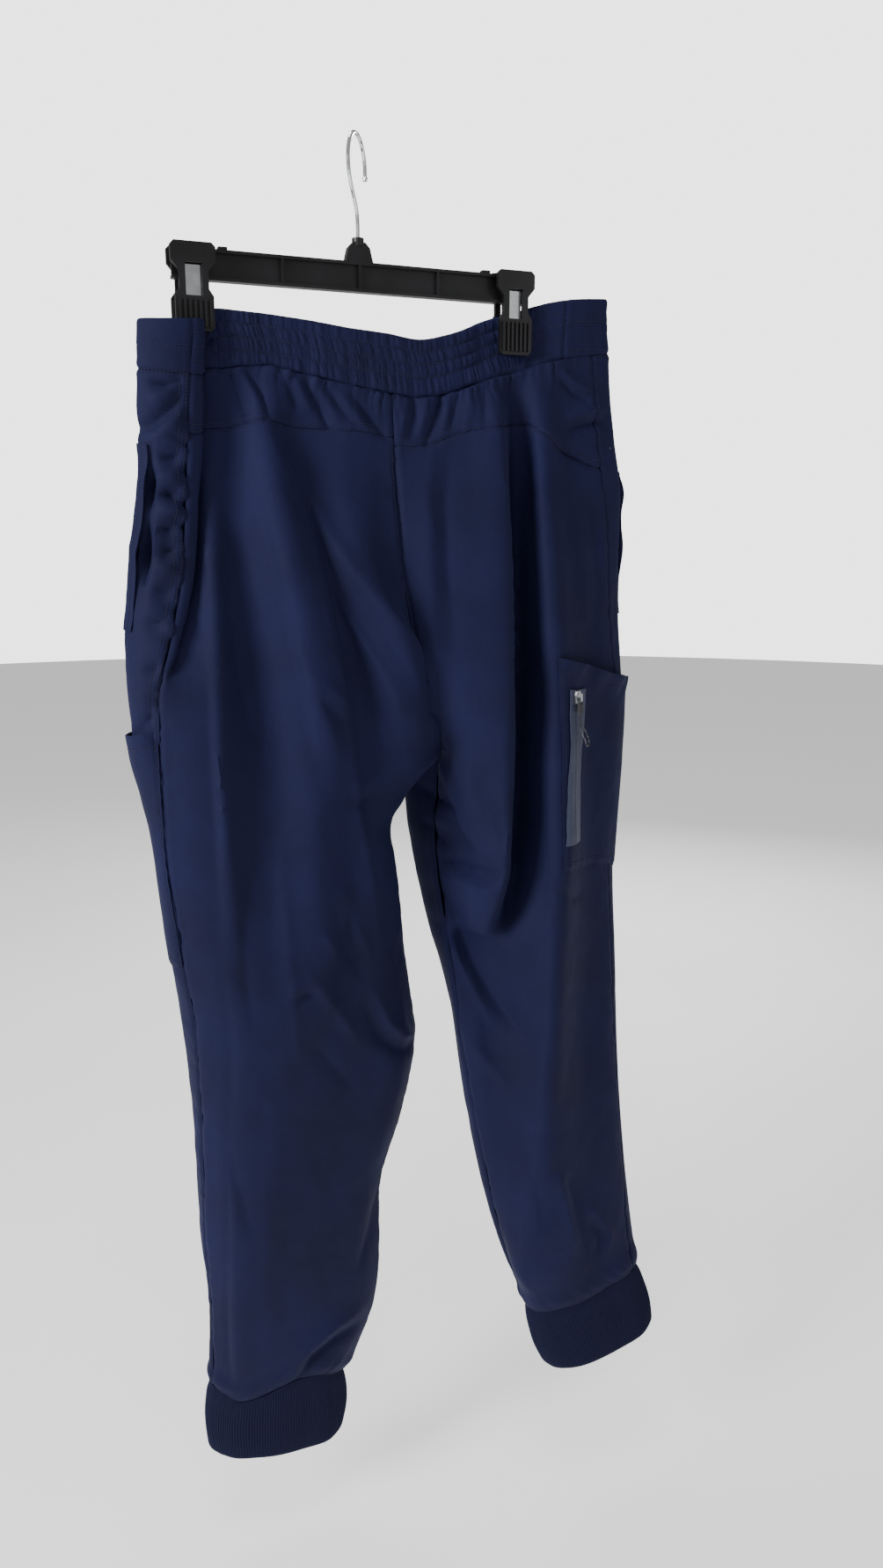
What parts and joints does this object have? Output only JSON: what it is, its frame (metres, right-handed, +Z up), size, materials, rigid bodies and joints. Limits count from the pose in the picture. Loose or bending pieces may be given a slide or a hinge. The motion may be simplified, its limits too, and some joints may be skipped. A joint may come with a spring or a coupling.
{
  "type": "cargo scrub joggers on a clip hanger",
  "caption": "Jogger trousers with elastic waist, rib cuffs and zipped cargo pocket, hung back side out from a trouser hanger with clips and a wire hook.",
  "frame": {"origin": "inside of the hook's crown, where the hook rests on the rail or peg that carries it", "axes": "+Z up; +X towards the wearer's right; the garment's back faces -Y and its front +Y"},
  "size_m": [0.4931, 0.1347, 1.1992],
  "materials": {
    "twill": "navy cotton-blend twill with a slight sheen",
    "rib_knit": "dark navy rib knit, matte",
    "zip_tape": "grey-blue coated tape, semi-matte",
    "hanger_plastic": "black injection-moulded plastic, satin",
    "hook_chrome": "bright plated wire",
    "steel": "bright nickel-plated steel",
    "pull_black": "dark grey painted metal, satin",
    "cord": "thin black speckled cord, matte"
  },
  "bodies": {
    "joggers_on_hanger": {"waistband_back": "twill", "waistband_front": "twill", "back_yoke_left": "twill", "back_yoke_right": "twill", "back_leg_left": "twill", "back_leg_right": "twill", "front_leg_left": "twill", "front_leg_right": "twill", "cargo_pocket_left": "twill", "cargo_pocket_right": "twill", "slash_pocket_edge_left": "twill", "slash_pocket_edge_right": "twill", "cuff_left": "rib_knit", "cuff_right": "rib_knit", "zip_tape": "zip_tape", "hanger_bar": "hanger_plastic", "clip_jaw_back_left": "hanger_plastic", "clip_jaw_back_right": "hanger_plastic", "clip_jaw_front_left": "hanger_plastic", "clip_jaw_front_right": "hanger_plastic", "hanger_hook": "hook_chrome", "clip_spring_left": "steel", "clip_spring_right": "steel", "zip_slider": "steel"},
    "zip_pull": {"zip_pull": "pull_black", "pull_cord": "cord"}
  },
  "joints": [
    {"name": "pull_hinge", "type": "hinge", "parent": "joggers_on_hanger", "child": "zip_pull", "pos_m": [0.19162, -0.04739, -0.45944], "axis": [-0.8591, -0.5118, 0], "range_deg": [0, 160]}
  ]
}
